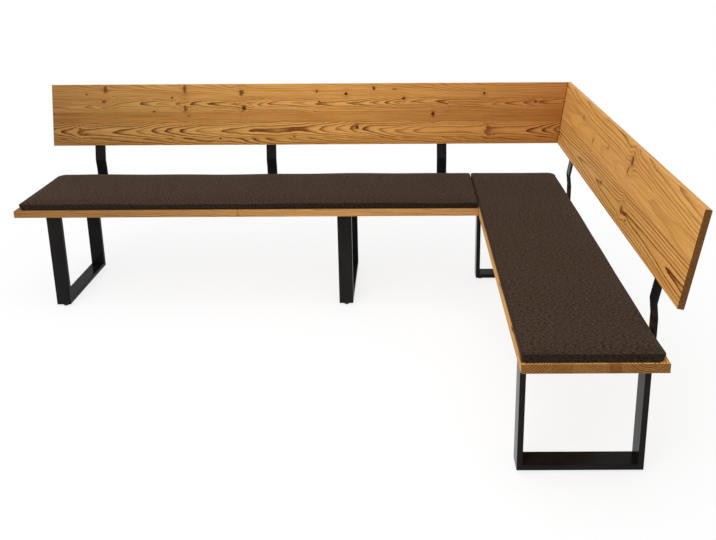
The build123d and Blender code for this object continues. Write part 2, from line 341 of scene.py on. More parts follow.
def makeGrainGroup():
    # Growth rings round the heart of the log that a lamella was sawn from, with fibres and streaks.
    tree, given, result = newGroup(
        "pineGrain",
        {"Place": "Vector", "Heart": "Float", "Depth": "Float", "Wander": "Float", "Taper": "Float",
         "Ring": "Float", "Strip": "Float"},
        {"Late": "Float", "Fibre": "Float", "Streak": "Float"},
    )
    along, across, through = split(tree, given["Place"])
    # The heart wavers behind the face and the log tapers, so that its rings come out as flames.
    waverAlong = times(tree, along, ringForm["waverRate"])
    waver = noise(tree, combine(tree, waverAlong, given["Strip"], 0.5), 1.0)
    depth = swing(tree, waver, given["Wander"], given["Depth"])
    swayAlong = times(tree, along, ringForm["swayRate"])
    sway = noise(tree, combine(tree, swayAlong, given["Strip"], 7.5), 1.0)
    aside = swing(tree, sway, ringForm["sway"], calc(tree, "SUBTRACT", across, given["Heart"]))
    radius = vectorCalc(tree, "LENGTH", combine(tree, aside, calc(tree, "ADD", through, depth), 0.0))
    ripplePlace = vectorCalc(tree, "ADD", given["Place"], combine(tree, given["Strip"], 0.0, 0.0))
    ripple = scaledNoise(tree, ripplePlace, ringForm["rippleScale"], 4.0, 0.6)
    radius = swing(tree, ripple, ringForm["ripple"], radius)
    radius = calc(tree, "MULTIPLY_ADD", along, given["Taper"], radius)
    rings = calc(tree, "DIVIDE", radius, given["Ring"])
    ringRandom = randomOf(tree, calc(tree, "FLOOR", rings), given["Strip"], 2.0)
    phase = calc(tree, "FRACT", rings)
    rise = ease(tree, phase, ringForm["lateStart"], ringForm["lateEnd"])
    late = times(tree, rise, inverse(tree, ease(tree, phase, ringForm["lateEnd"], 1.0)))
    # Wide rings have as thin a line of late wood as narrow ones.
    power = calc(tree, "MULTIPLY_ADD", given["Ring"], ringForm["thinning"], ringForm["thinBase"])
    late = calc(tree, "POWER", late, power)
    strength = calc(tree, "MULTIPLY_ADD", ringRandom[0], 1.0 - ringForm["weakest"], ringForm["weakest"])
    tree.links.new(times(tree, late, strength), result["Late"])
    fibre = scaledNoise(tree, given["Place"], ringForm["fibreScale"], 2.0)
    tree.links.new(fibre, result["Fibre"])
    streak = scaledNoise(tree, ripplePlace, ringForm["streakScale"], 5.0, 0.72)
    tree.links.new(streak, result["Streak"])
    return tree


pine = {
    "early": (0.690, 0.366, 0.098), "late": (0.160, 0.042, 0.003), "deepTint": (0.56, 0.42, 0.24),
    "streakEdge": (0.36, 0.70), "streakDepth": 0.46, "fibreEdge": (0.35, 0.70), "fibreDepth": 0.22,
    "knotSurround": (0.310, 0.105, 0.018), "stain": 0.30,
    "knotBrown": (0.190, 0.064, 0.014), "brownEdge": (0.0, 0.6),
    "knotDark": (0.050, 0.016, 0.005), "darkEdge": (0.55, 1.0),
    "glueTint": (0.62, 0.50, 0.40), "glueDepth": 0.8, "glueWidth": (0.0002, 0.0010),
    "seamTint": (0.16, 0.11, 0.08), "seamWidth": (0.0007, 0.0022), "endEdge": (0.72, 0.90),
    "secondStrip": 23.0, "secondTint": 0.12,
    "roughness": 0.44, "roughRange": 0.16, "gloss": 0.10,
    "fibreRelief": 0.4, "lateRelief": 0.5, "relief": (0.00025, 0.6),
}
knotGroup = makeKnotGroup()
grainGroup = makeGrainGroup()


def boardPlace(tree, board):
    # Turns the bench's frame into the board's: along, across and through, from its own corner.
    along, across = Vector(board["along"]), Vector(board["across"])
    turn = Matrix([along, across, along.cross(across)])
    node = tree.nodes.new("ShaderNodeMapping")
    tree.links.new(objectPlace(tree), node.inputs["Vector"])
    node.inputs["Rotation"].default_value = turn.to_euler("XYZ")
    node.inputs["Location"].default_value = -(turn @ Vector(board["corner"]))
    return node.outputs[0]


def glueUp(tree, board, along, across):
    # The values of the lamella at each place, and where the glue lines between them are.
    lamellas = board["lamellas"]
    passed = [calc(tree, "GREATER_THAN", across, lamella[0]) for lamella in lamellas[1:]]
    heart, depth, wander, ring, tint, contrast = [
        stepped(tree, passed, [lamella[i] for lamella in lamellas]) for i in range(1, 7)]
    strip = stepped(tree, passed, [board["seed"] + i for i in range(len(lamellas))])
    gap = 1.0
    for lamella in lamellas[1:]:
        gap = calc(tree, "MINIMUM", gap, apart(tree, across, lamella[0]))
    for start, low, high in board["buttJoints"]:
        # A lamella made up of two lengths: the second has rings and a tint of its own.
        above, below = calc(tree, "GREATER_THAN", across, low), calc(tree, "LESS_THAN", across, high)
        within = times(tree, above, below)
        second = times(tree, within, calc(tree, "GREATER_THAN", along, start))
        strip = calc(tree, "MULTIPLY_ADD", second, pine["secondStrip"], strip)
        tint = calc(tree, "MULTIPLY_ADD", second, pine["secondTint"], tint)
        away = calc(tree, "ADD", apart(tree, along, start), inverse(tree, within))
        gap = calc(tree, "MINIMUM", gap, away)
    glue = inverse(tree, ease(tree, gap, *pine["glueWidth"]))
    rings = {"Heart": heart, "Depth": depth, "Wander": wander, "Ring": ring, "Strip": strip}
    return rings, tint, contrast, glue


def pineBoard(name, board):
    material, tree, shader = newMaterial(name, **{"Specular IOR Level": pine["gloss"]})
    place = boardPlace(tree, board)
    along, across = split(tree, place)[:2]
    rings, tint, contrast, glue = glueUp(tree, board, along, across)
    bent, core, surround = place, 0.0, 0.0
    for knotAlong, knotAcross, size, tall, dark in board["knots"]:
        knot = useGroup(tree, knotGroup, Place=place, Bent=bent, Core=core, Surround=surround,
                        Along=knotAlong, Across=knotAcross, Size=size, Tall=tall, Dark=dark)
        bent, core, surround = knot["Bent"], knot["Core"], knot["Surround"]
    grain = useGroup(tree, grainGroup, Place=bent, Taper=board["taper"], **rings)
    outward = tree.nodes.new("ShaderNodeTexCoord").outputs["Normal"]
    endwise = calc(tree, "ABSOLUTE", vectorCalc(tree, "DOT_PRODUCT", outward, board["along"]))
    endwise = ease(tree, endwise, *pine["endEdge"])
    ends = calc(tree, "MULTIPLY_ADD", endwise, board["endContrast"], 1.0)
    lateShare = times(tree, grain["Late"], times(tree, contrast, ends))
    colour = mixColour(tree, lateShare, pine["early"], pine["late"])
    streaks = ease(tree, grain["Streak"], *pine["streakEdge"])
    fibres = ease(tree, grain["Fibre"], *pine["fibreEdge"])
    deep = calc(tree, "MULTIPLY_ADD", streaks, pine["streakDepth"], tint)
    deep = calc(tree, "MULTIPLY_ADD", fibres, pine["fibreDepth"], deep)
    colour = mixColour(tree, deep, colour, pine["deepTint"], "MULTIPLY")
    drift = ramp(tree, calc(tree, "DIVIDE", along, board["length"]), board["drift"])
    colour = mixColour(tree, 1.0, colour, drift, "MULTIPLY")
    glued = times(tree, glue, pine["glueDepth"])
    colour = mixColour(tree, glued, colour, pine["glueTint"], "MULTIPLY")
    stained = times(tree, surround, pine["stain"])
    colour = mixColour(tree, stained, colour, pine["knotSurround"])
    colour = mixColour(tree, ease(tree, core, *pine["brownEdge"]), colour, pine["knotBrown"])
    colour = mixColour(tree, ease(tree, core, *pine["darkEdge"]), colour, pine["knotDark"])
    # Sawn ends drink more oil and are darker; the short backrest's free end is darker still with painted
    # shade, and so is the line where a board meets the next one.
    colour = mixColour(tree, endwise, colour, board["endGrainAndShadeTint"], "MULTIPLY")
    if board["meeting"] is not None:
        level = vectorCalc(tree, "DOT_PRODUCT", objectPlace(tree), board["meetingWay"])
        near = inverse(tree, ease(tree, apart(tree, level, board["meeting"]), *pine["seamWidth"]))
        colour = mixColour(tree, near, colour, pine["seamTint"], "MULTIPLY")
    tree.links.new(colour, shader.inputs["Base Color"])
    rough = calc(tree, "MULTIPLY_ADD", grain["Fibre"], pine["roughRange"], pine["roughness"])
    tree.links.new(rough, shader.inputs["Roughness"])
    height = calc(tree, "SUBTRACT", times(tree, grain["Fibre"], pine["fibreRelief"]), glue)
    height = calc(tree, "MULTIPLY_ADD", grain["Late"], pine["lateRelief"], height)
    bump(tree, shader, height, *pine["relief"])
    return material


def dress(material, *names):
    for name in names:
        mesh = nodes[name].data
        mesh.materials.clear()
        mesh.materials.append(material)


def boardFrame(low, high, along, across, level):
    # The corner that a board is measured from, its length and the ways it runs.
    length = Vector(along).dot(high - low)
    return {"corner": (low.x, low.y, level), "length": length, "along": along, "across": across}


lean = math.radians(10)
leanOut, leanUp = math.sin(lean), math.cos(lean)
longSeatLow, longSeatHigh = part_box("long_seat_board")
shortSeatLow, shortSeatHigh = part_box("short_seat_board")
longBackLow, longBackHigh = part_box("long_backrest_board")
shortBackLow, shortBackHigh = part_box("short_backrest_board")
# The backrests meet in the upright plane of the corner's mitre, and the long seat ends at the short one.
mitreWay = Vector((1.0, -1.0, 0.0)).normalized()
mitreAt = mitreWay.dot(Vector((longBackHigh.x, shortBackHigh.y, 0.0)))
# Lamellas of a board: start across it, then the heart's place and depth, how far it wanders, the width of
# a ring, the tint and the contrast of the rings. Knots: along from the free end, across, half width,
# height over width, and darkness.
longBack = {
    **boardFrame(longBackLow, longBackHigh, (1, 0, 0), (0, leanOut, leanUp), longBackLow.z),
    "meetingWay": mitreWay, "meeting": mitreAt,
    "taper": -0.04,
    "seed": 4.0,
    "lamellas": [
        (0.000, 0.045, 0.060, 0.030, 0.0046, 0.32, 1.00),
        (0.036, 0.068, 0.042, 0.034, 0.0046, 0.06, 1.35),
        (0.108, 0.200, 0.045, 0.030, 0.0040, 0.45, 0.60),
        (0.156, 0.192, 0.022, 0.040, 0.0034, 0.06, 1.10),
        (0.218, 0.300, 0.060, 0.040, 0.0050, 0.14, 0.60),
    ],
    "buttJoints": [(1.827, 0.156, 0.218)],
    "drift": [
        (0.00, (0.54, 0.54, 0.61)), (0.30, (0.86, 0.87, 0.90)), (0.55, (1.00, 0.99, 0.99)),
        (1.00, (0.76, 0.62, 0.60)),
    ],
    "endGrainAndShadeTint": (0.40, 0.35, 0.30), "endContrast": 0.0,
    "knots": [
        (0.246, 0.262, 0.012, 1.7, 0.80), (0.159, 0.240, 0.005, 1.0, 1.00), (0.239, 0.207, 0.012, 0.8, 0.80),
        (0.124, 0.074, 0.010, 1.3, 0.70), (0.553, 0.224, 0.006, 0.8, 1.00), (0.612, 0.262, 0.011, 2.4, 0.70),
        (0.614, 0.173, 0.010, 1.9, 0.75), (0.468, 0.158, 0.007, 0.7, 0.95), (0.629, 0.139, 0.005, 1.0, 1.00),
        (0.773, 0.035, 0.005, 1.2, 1.00), (0.874, 0.245, 0.014, 1.2, 0.75), (0.884, 0.174, 0.012, 1.2, 0.95),
        (1.222, 0.249, 0.007, 1.0, 1.00), (1.357, 0.237, 0.008, 1.0, 1.00), (1.230, 0.201, 0.006, 0.8, 0.95),
        (1.484, 0.262, 0.008, 1.2, 0.95), (1.580, 0.257, 0.013, 0.3, 0.70), (1.406, 0.083, 0.010, 1.1, 0.95),
        (1.114, 0.041, 0.006, 0.8, 1.00), (1.623, 0.215, 0.009, 1.0, 0.95), (1.757, 0.142, 0.010, 1.4, 0.95),
        (1.994, 0.236, 0.006, 1.6, 0.95), (2.230, 0.198, 0.012, 0.6, 0.75), (2.013, 0.076, 0.013, 1.3, 0.60),
    ],
}
shortBack = {
    **boardFrame(shortBackLow, shortBackHigh, (0, 1, 0), (leanOut, 0, leanUp), shortBackLow.z),
    "meetingWay": mitreWay, "meeting": mitreAt,
    "taper": 0.03,
    "seed": 31.0,
    "lamellas": [
        (0.000, 0.058, 0.018, 0.030, 0.0105, 0.14, 1.40),
        (0.128, 0.175, 0.090, 0.030, 0.0100, 0.12, 0.30),
        (0.205, 0.290, 0.070, 0.030, 0.0080, 0.08, 0.80),
    ],
    "buttJoints": [],
    "drift": [(0.00, (1.00, 1.00, 1.06)), (0.50, (1.06, 1.06, 1.14)), (1.00, (1.20, 1.20, 1.34))],
    # This free end's deeper tint is painted shade over the darker end grain.
    "endGrainAndShadeTint": (0.22, 0.18, 0.15), "endContrast": -0.6,
    "knots": [
        (0.541, 0.061, 0.010, 1.6, 0.80), (0.486, 0.046, 0.006, 1.0, 0.85), (0.548, 0.232, 0.014, 1.6, 0.70),
        (0.568, 0.193, 0.006, 2.2, 0.80), (0.996, 0.167, 0.006, 1.8, 0.85), (0.809, 0.196, 0.006, 1.0, 0.80),
        (1.180, 0.210, 0.006, 1.0, 0.85), (0.793, 0.065, 0.007, 1.0, 0.60),
    ],
}
longSeat = {
    **boardFrame(longSeatLow, longSeatHigh, (1, 0, 0), (0, 1, 0), longSeatHigh.z),
    "meetingWay": (1, 0, 0), "meeting": longSeatHigh.x,
    "taper": 0.02,
    "seed": 52.0,
    "lamellas": [
        (0.000, 0.050, 0.060, 0.05, 0.0060, 0.22, 0.75),
        (0.092, 0.130, 0.030, 0.06, 0.0045, 0.30, 0.80),
        (0.178, 0.230, 0.010, 0.09, 0.0050, 0.05, 0.90),
        (0.266, 0.300, 0.040, 0.05, 0.0040, 0.40, 0.70),
        (0.338, 0.370, 0.015, 0.08, 0.0050, 0.15, 0.90),
    ],
    "buttJoints": [],
    "drift": [
        (0.00, (0.48, 0.48, 0.60)), (0.25, (0.57, 0.57, 0.75)), (0.65, (0.89, 0.96, 1.28)),
        (1.00, (0.83, 0.86, 1.16)),
    ],
    "endGrainAndShadeTint": (0.50, 0.45, 0.40), "endContrast": 0.5,
    "knots": [
        (0.350, 0.230, 0.011, 1.2, 0.90), (0.820, 0.090, 0.008, 1.0, 0.95), (1.260, 0.310, 0.012, 1.4, 0.80),
        (1.600, 0.160, 0.008, 1.0, 0.95), (0.930, 0.004, 0.007, 0.7, 0.45),
    ],
}
shortSeat = {
    **boardFrame(shortSeatLow, shortSeatHigh, (0, 1, 0), (1, 0, 0), shortSeatHigh.z),
    "meetingWay": None, "meeting": None,
    "taper": 0.0,
    "seed": 73.0,
    "lamellas": [
        (0.000, -0.030, 0.070, 0.04, 0.0066, 0.05, 1.00),
        (0.085, 0.060, 0.090, 0.04, 0.0060, 0.35, 0.60),
        (0.136, 0.240, 0.080, 0.04, 0.0060, 0.05, 0.60),
        (0.238, 0.330, 0.060, 0.04, 0.0055, 0.55, 0.70),
        (0.268, 0.341, 0.036, 0.03, 0.0066, 0.05, 1.00),
    ],
    "buttJoints": [],
    "drift": [(0.00, (1.00, 1.00, 1.00)), (0.50, (1.00, 0.98, 0.96)), (1.00, (0.94, 0.92, 0.92))],
    "endGrainAndShadeTint": (0.43, 0.39, 0.38), "endContrast": 0.9,
    "knots": [
        (0.420, 0.110, 0.010, 1.1, 0.90), (0.760, 0.260, 0.011, 1.3, 0.85), (1.130, 0.060, 0.008, 1.0, 0.95),
    ],
}
boards = {
    "long_backrest_board": longBack, "short_backrest_board": shortBack,
    "long_seat_board": longSeat, "short_seat_board": shortSeat,
}
for name, board in boards.items():
    dress(pineBoard("oiledPine_" + name, board), name)
print("pine boards dressed")


# Steel, screws and plastic: a cloudy colour and gloss over a fine grain. Each noise is a scale and its
# detail, each relief a depth and its strength, and rough is the lowest value and the range above it.

powderCoat = {
    "colours": ((0.0078, 0.0068, 0.0065), (0.0136, 0.0119, 0.0112)), "edges": (0.3, 0.7),
    "cloud": ((9.0, 9.0, 3.0), 3.0), "rough": (0.15, 0.10),
    "grain": ((650.0, 650.0, 650.0), 2.0), "relief": (0.00012, 0.35),
    "plain": {"Specular IOR Level": 0.06},
}
zincPlate = {
    "colours": ((0.42, 0.42, 0.40), (0.66, 0.66, 0.63)),
    "cloud": ((140.0, 140.0, 140.0), 3.0), "rough": (0.26, 0.2),
    "grain": ((300.0, 2600.0, 2600.0), 1.0), "relief": (0.00004, 0.4),
    "plain": {"Metallic": 1.0},
}
screwBlacking = {
    **zincPlate,
    "colours": ((0.030, 0.029, 0.028), (0.070, 0.068, 0.065)), "rough": (0.32, 0.2),
    "plain": {"Metallic": 0.6},
}
mouldedPlastic = {
    "colours": ((0.012, 0.012, 0.012), (0.024, 0.023, 0.022)),
    "cloud": ((900.0, 900.0, 900.0), 2.0), "rough": (0.42, 0.2),
    "grain": ((900.0, 900.0, 900.0), 2.0), "relief": (0.00008, 0.4),
    "plain": {},
}
turnedBeech = {
    "colours": ((0.60, 0.40, 0.23), (0.46, 0.28, 0.15)), "edges": (0.3, 0.7),
    "cloud": ((420.0, 420.0, 1400.0), 3.0),
    "grain": ((420.0, 420.0, 1400.0), 3.0), "relief": (0.0001, 0.5),
    "plain": {"Roughness": 0.6},
}


def finishMaterial(name, finish):
    material, tree, shader = newMaterial(name, **finish["plain"])
    place = objectPlace(tree)
    cloud = scaledNoise(tree, place, *finish["cloud"])
    share = ease(tree, cloud, *finish["edges"]) if "edges" in finish else cloud
    tree.links.new(mixColour(tree, share, *finish["colours"]), shader.inputs["Base Color"])
    if "rough" in finish:
        lowest, spread = finish["rough"]
        tree.links.new(calc(tree, "MULTIPLY_ADD", cloud, spread, lowest), shader.inputs["Roughness"])
    if "grain" in finish:
        bump(tree, shader, scaledNoise(tree, place, *finish["grain"]), *finish["relief"])
    return material


skidNames = ("left", "middle", "corner", "end")
bracketNames = ("left", "middle", "inner", "corner", "end")
footNames = [f"{skid}_skid_{end}_foot" for skid in skidNames for end in ("front", "rear")]
skidPieces = ("front_post", "rear_post", "floor_rail", "top_plate")
blackSteel = finishMaterial("blackPowderCoat", powderCoat)
zincSteel = finishMaterial("zincPlatedSteel", zincPlate)
blackScrew = finishMaterial("blackenedScrew", screwBlacking)
dress(blackSteel, *[f"{skid}_skid_{piece}" for skid in skidNames for piece in skidPieces])
dress(blackSteel, *[f"{bracket}_backrest_bracket" for bracket in bracketNames])
dress(zincSteel, "foot_rivet_nuts", "seat_joint_plates")
dress(finishMaterial("blackGlidePlastic", mouldedPlastic), *[foot + "_glide" for foot in footNames])
dress(finishMaterial("plainBeech", turnedBeech), "mitre_dowels")
print("steel and plastic dressed")


# Countersunk screws with a hexagonal socket, at the places of the CAD screws

screw = {
    "Head radius": 0.0042, "Head height": 0.0021, "Shank radius": 0.0021,
    "Socket radius": 0.0019, "Socket depth": 0.00168,
}


def islands(name):
    # The points of each separate solid of a CAD node.
    shape = bmesh.new()
    shape.from_mesh(nodes[name].data)
    bmesh.ops.remove_doubles(shape, verts=shape.verts, dist=1e-6)
    groups, seen = [], set()
    for first in shape.verts:
        if first in seen:
            continue
        seen.add(first)
        reached = [first]
        for vert in reached:  # the list grows on the way
            beside = [edge.other_vert(vert) for edge in vert.link_edges]
            reached += [other for other in beside if other not in seen]
            seen.update(beside)
        groups.append(np.array([vert.co[:] for vert in reached]))
    shape.free()
    return groups


def screwPlace(points):
    # A screw's head, the way it is driven, and its length.
    middle = points.mean(axis=0)
    axis = np.linalg.svd(points - middle)[2][0]
    level = (points - middle) @ axis
    wide = np.linalg.norm(points - middle - np.outer(level, axis), axis=1)
    if level[wide.argmax()] > 0:
        axis, level = -axis, -level
    return middle + axis * level.min(), axis, level.max() - level.min()


def makeScrewTree():
    tree, given = newShapeTree("countersunkScrews", screw)
    way = shapeNode(tree, "InputNamedAttribute", {"Name": "way"}, data_type="FLOAT_VECTOR")
    reach = shapeNode(tree, "InputNamedAttribute", {"Name": "reach"}, data_type="FLOAT")
    head = shapeNode(tree, "MeshCone", {
        "Vertices": 20, "Radius Bottom": given["Head radius"], "Radius Top": given["Shank radius"],
        "Depth": given["Head height"]})
    throughFace = times(tree, given["Socket depth"], 2.0)  # half of it stands outside the head
    socket = shapeNode(tree, "MeshCylinder", {
        "Vertices": 6, "Radius": given["Socket radius"], "Depth": throughFace})
    head = shapeNode(tree, "MeshBoolean", {"Mesh 1": head, "Mesh 2": socket}, operation="DIFFERENCE")
    shank = shapeNode(tree, "MeshCylinder", {"Vertices": 8, "Radius": given["Shank radius"], "Depth": 1.0})
    shank = shapeNode(tree, "Transform", {"Geometry": shank, "Translation": (0.0, 0.0, 0.5)})
    heads = shapeNode(tree, "InstanceOnPoints", {
        "Points": given["Geometry"], "Instance": head, "Rotation": facing(tree, way)})
    long = calc(tree, "SUBTRACT", reach, given["Head height"])
    shanks = shapeNode(tree, "InstanceOnPoints", {
        "Points": given["Geometry"], "Instance": shank, "Rotation": facing(tree, way),
        "Scale": combine(tree, 1.0, 1.0, long)})
    belowHead = combine(tree, 0.0, 0.0, given["Head height"])
    shanks = shapeNode(tree, "TranslateInstances", {
        "Instances": shanks, "Translation": belowHead, "Local Space": True})
    endTree(tree, given["Material"], heads, shanks)
    return tree


screwNodes = ("skid_screws", "bracket_foot_screws", "bracket_arm_screws", "seat_joint_screws")
heads, ways, reaches = zip(*[screwPlace(points) for node in screwNodes for points in islands(node)])
benchScrews = newPiece("benchScrews", heads, [])
wayValues = benchScrews.data.attributes.new("way", "FLOAT_VECTOR", "POINT").data
wayValues.foreach_set("vector", np.array(ways).ravel())
reachValues = benchScrews.data.attributes.new("reach", "FLOAT", "POINT").data
reachValues.foreach_set("value", reaches)
grow(benchScrews, makeScrewTree(), {**screw, "Material": blackScrew})
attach(benchScrews, "bench")
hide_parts(*screwNodes)
print(len(heads), "screws set")


# Threaded studs of the levelling feet

stud = {
    "Radius": 0.004, "Pitch": 0.00125, "Ridge": 0.0004, "Shank": 0.014,
    "Head radius": 0.0074, "Head height": 0.005,
}


def makeStudTree():
    tree, given = newShapeTree("threadedStud", stud, Place="Vector", Turn="Vector")
    core = calc(tree, "SUBTRACT", given["Radius"], times(tree, given["Ridge"], 1.5))
    spiral = shapeNode(tree, "CurveSpiral", {
        "Resolution": 12, "Rotations": calc(tree, "DIVIDE", given["Shank"], given["Pitch"]),
        "Start Radius": core, "End Radius": core, "Height": given["Shank"]})
    ridge = shapeNode(tree, "CurvePrimitiveCircle", {"Resolution": 3, "Radius": given["Ridge"]})
    thread = shapeNode(tree, "CurveToMesh", {"Curve": spiral, "Profile Curve": ridge, "Fill Caps": True})
    shank = shapeNode(tree, "MeshCylinder", {"Vertices": 12, "Radius": core, "Depth": given["Shank"]})
    middle = combine(tree, 0.0, 0.0, calc(tree, "DIVIDE", given["Shank"], 2.0))
    shank = shapeNode(tree, "Transform", {"Geometry": shank, "Translation": middle})
    head = shapeNode(tree, "MeshCylinder", {
        "Vertices": 6, "Radius": given["Head radius"], "Depth": given["Head height"]})
    below = combine(tree, 0.0, 0.0, calc(tree, "DIVIDE", given["Head height"], -2.0))
    head = shapeNode(tree, "Transform", {
        "Geometry": head, "Translation": below, "Rotation": given["Turn"]})
    placed = [shapeNode(tree, "Transform", {"Geometry": shape, "Translation": given["Place"]})
              for shape in (thread, shank, head)]
    endTree(tree, given["Material"], *placed)
    return tree


studTree = makeStudTree()
for foot in footNames:
    low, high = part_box(foot + "_stud")
    turn = 0.0 if high.x - low.x > high.y - low.y else math.pi / 2
    place = ((low.x + high.x) / 2, (low.y + high.y) / 2, low.z + stud["Head height"])
    piece = newPiece(foot + "Thread", [], [])
    grow(piece, studTree, {**stud, "Place": place, "Turn": (0.0, 0.0, turn), "Material": zincSteel})
    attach(piece, foot)
    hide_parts(foot + "_stud")
print("studs threaded")


# Melange fabric of the seat pads

fabric = {
    "dark": (0.0090, 0.0050, 0.0030), "light": (0.0860, 0.0530, 0.0350),
    "roughness": 0.95, "gloss": 0.06,
    "sheen": 0.11, "sheenRoughness": 0.45, "sheenTint": (0.55, 0.42, 0.33, 1.0),
    "threadPitch": 0.0019, "slubLength": 0.012, "weftSpread": 0.73, "warpSpread": 0.71,
    "broadRun": 105.0, "broadFall": 330.0, "toneShare": 0.75, "toneEdge": (0.57, 0.95),
    "hollowShade": 0.62, "threadShade": 0.45, "relief": (0.0005, 0.55),
    # How dark the painted shade of the upright sides is, and where it gives way to the top.
    "shadedSideTone": 0.50, "shadedSideEdge": (0.70, 0.99),
}


def melange():
    material, tree, shader = newMaterial("brownMelange", **{
        "Roughness": fabric["roughness"], "Specular IOR Level": fabric["gloss"],
        "Sheen Weight": fabric["sheen"], "Sheen Roughness": fabric["sheenRoughness"],
        "Sheen Tint": fabric["sheenTint"]})
    uv = tree.nodes.new("ShaderNodeUVMap")
    uv.uv_map = "clothRun"
    run, fall = split(tree, uv.outputs[0])[:2]
    warp, weft = [calc(tree, "DIVIDE", way, fabric["threadPitch"]) for way in (run, fall)]
    warpIndex, weftIndex = [calc(tree, "FLOOR", yarn) for yarn in (warp, weft)]
    parity = calc(tree, "MODULO", calc(tree, "ABSOLUTE", calc(tree, "ADD", warpIndex, weftIndex)), 2.0)
    halfTurns = [times(tree, calc(tree, "FRACT", yarn), math.pi) for yarn in (warp, weft)]
    warpHump, weftHump = [calc(tree, "SINE", turn) for turn in halfTurns]
    over = times(tree, warpHump, calc(tree, "POWER", weftHump, 0.5))
    under = times(tree, weftHump, calc(tree, "POWER", warpHump, 0.5))
    height = either(tree, parity, over, under)
    # Yarns of mixed tone: short slubs along the weft, and the same along the warp.
    slubRun, slubFall = [calc(tree, "DIVIDE", way, fabric["slubLength"]) for way in (run, fall)]
    weftStep = times(tree, weftIndex, fabric["weftSpread"])
    warpStep = times(tree, warpIndex, fabric["warpSpread"])
    weftTone = noise(tree, combine(tree, slubRun, weftStep, 0.0), 2.0, 0.6)
    warpTone = noise(tree, combine(tree, warpStep, slubFall, 5.0), 2.0, 0.6)
    broadRun = times(tree, run, fabric["broadRun"])
    broadFall = times(tree, fall, fabric["broadFall"])
    broad = noise(tree, combine(tree, broadRun, broadFall, 2.0), 3.0)
    tone = calc(tree, "ADD", either(tree, parity, warpTone, weftTone), broad)
    tone = times(tree, tone, fabric["toneShare"])
    colour = mixColour(tree, ease(tree, tone, *fabric["toneEdge"]), fabric["dark"], fabric["light"])
    shade = calc(tree, "MULTIPLY_ADD", height, fabric["threadShade"], fabric["hollowShade"])
    # The upright sides are darkened with painted shade, and the upward-facing top keeps its full tone.
    upward = split(tree, tree.nodes.new("ShaderNodeTexCoord").outputs["Normal"])[2]
    top = ease(tree, upward, *fabric["shadedSideEdge"])
    paintedSideShade = calc(tree, "MULTIPLY_ADD", top, 1.0 - fabric["shadedSideTone"], fabric["shadedSideTone"])
    shade = times(tree, shade, paintedSideShade)
    colour = mixColour(tree, 1.0, colour, combine(tree, shade, shade, shade), "MULTIPLY")
    tree.links.new(colour, shader.inputs["Base Color"])
    bump(tree, shader, height, *fabric["relief"])
    return material


brownMelange = melange()

pads = {
    "step": 0.010, "edge": 0.005, "edgeRows": (0.0, 0.22, 0.45, 0.72, 1.0),
    "crown": 0.004, "crownRun": 0.09, "jointReach": 0.0007,
    "corner": 0.012, "tuck": 0.016, "rearCorner": 0.034,
    "frames": 20, "pressure": 4.0, "quality": 4, "stiffness": 25.0, "bending": 6.0, "cap": 0.005,
    "fill": 0.8, "clear": 0.0004, "seam": 0.0009, "drape": 0.016,
    "wave": 0.0016, "longWave": (5.3, 0.6), "shortWave": (12.1, 4.0, 7.0), "shortShare": 0.6,
}
# Each pad's outer side along X, away from the joint of the two, and how far its front reaches past the
# CAD cover.
padKinds = {
    "longSeatPad": {"body": "long_pad", "outer": -1, "frontReach": 0.0},
    "shortSeatPad": {"body": "short_pad", "outer": 1, "frontReach": 0.004},
}


def padRows(low, high, step):
    # Rows across a pad: even in the middle, and closer where its edges turn.
    near = pads["edge"] * np.array(pads["edgeRows"])
    count = max(2, round((high - low - 2 * pads["edge"]) / step))
    middle = np.linspace(low + pads["edge"], high - pads["edge"], count + 1)[1:-1]
    return np.concatenate([low + near, middle, (high - near)[::-1]])


def padShell(low, high):
    # A closed box of quads in even rows, with the order of the points round its middle height.
    rows = [padRows(low.x, high.x, pads["step"]), padRows(low.y, high.y, pads["step"])]
    rows.append(padRows(0.0, high.z - low.z - pads["crown"], pads["edge"]))
    places = np.indices([len(row) for row in rows])
    last = [len(row) - 1 for row in rows]
    outside = np.zeros(places[0].shape, dtype=bool)
    for axis in range(3):
        outside |= (places[axis] == 0) | (places[axis] == last[axis])
    index = np.full(outside.shape, -1)
    index[outside] = np.arange(outside.sum())
    points = np.stack([rows[axis][places[axis][outside]] for axis in range(3)], axis=1)
    faces = []
    for axis in range(3):
        for side in (0, last[axis]):
            sheet = index.take(side, axis=axis)
            quads = np.stack([sheet[:-1, :-1], sheet[1:, :-1], sheet[1:, 1:], sheet[:-1, 1:]], axis=-1)
            if (side == 0) != (axis == 1):
                quads = quads[..., ::-1]
            faces.append(quads.reshape(-1, 4))
    level = index[:, :, last[2] // 2]
    ring = np.concatenate([level[:-1, 0], level[-1, :-1], level[:0:-1, -1], level[0, :0:-1]])
    return points, np.concatenate(faces), ring


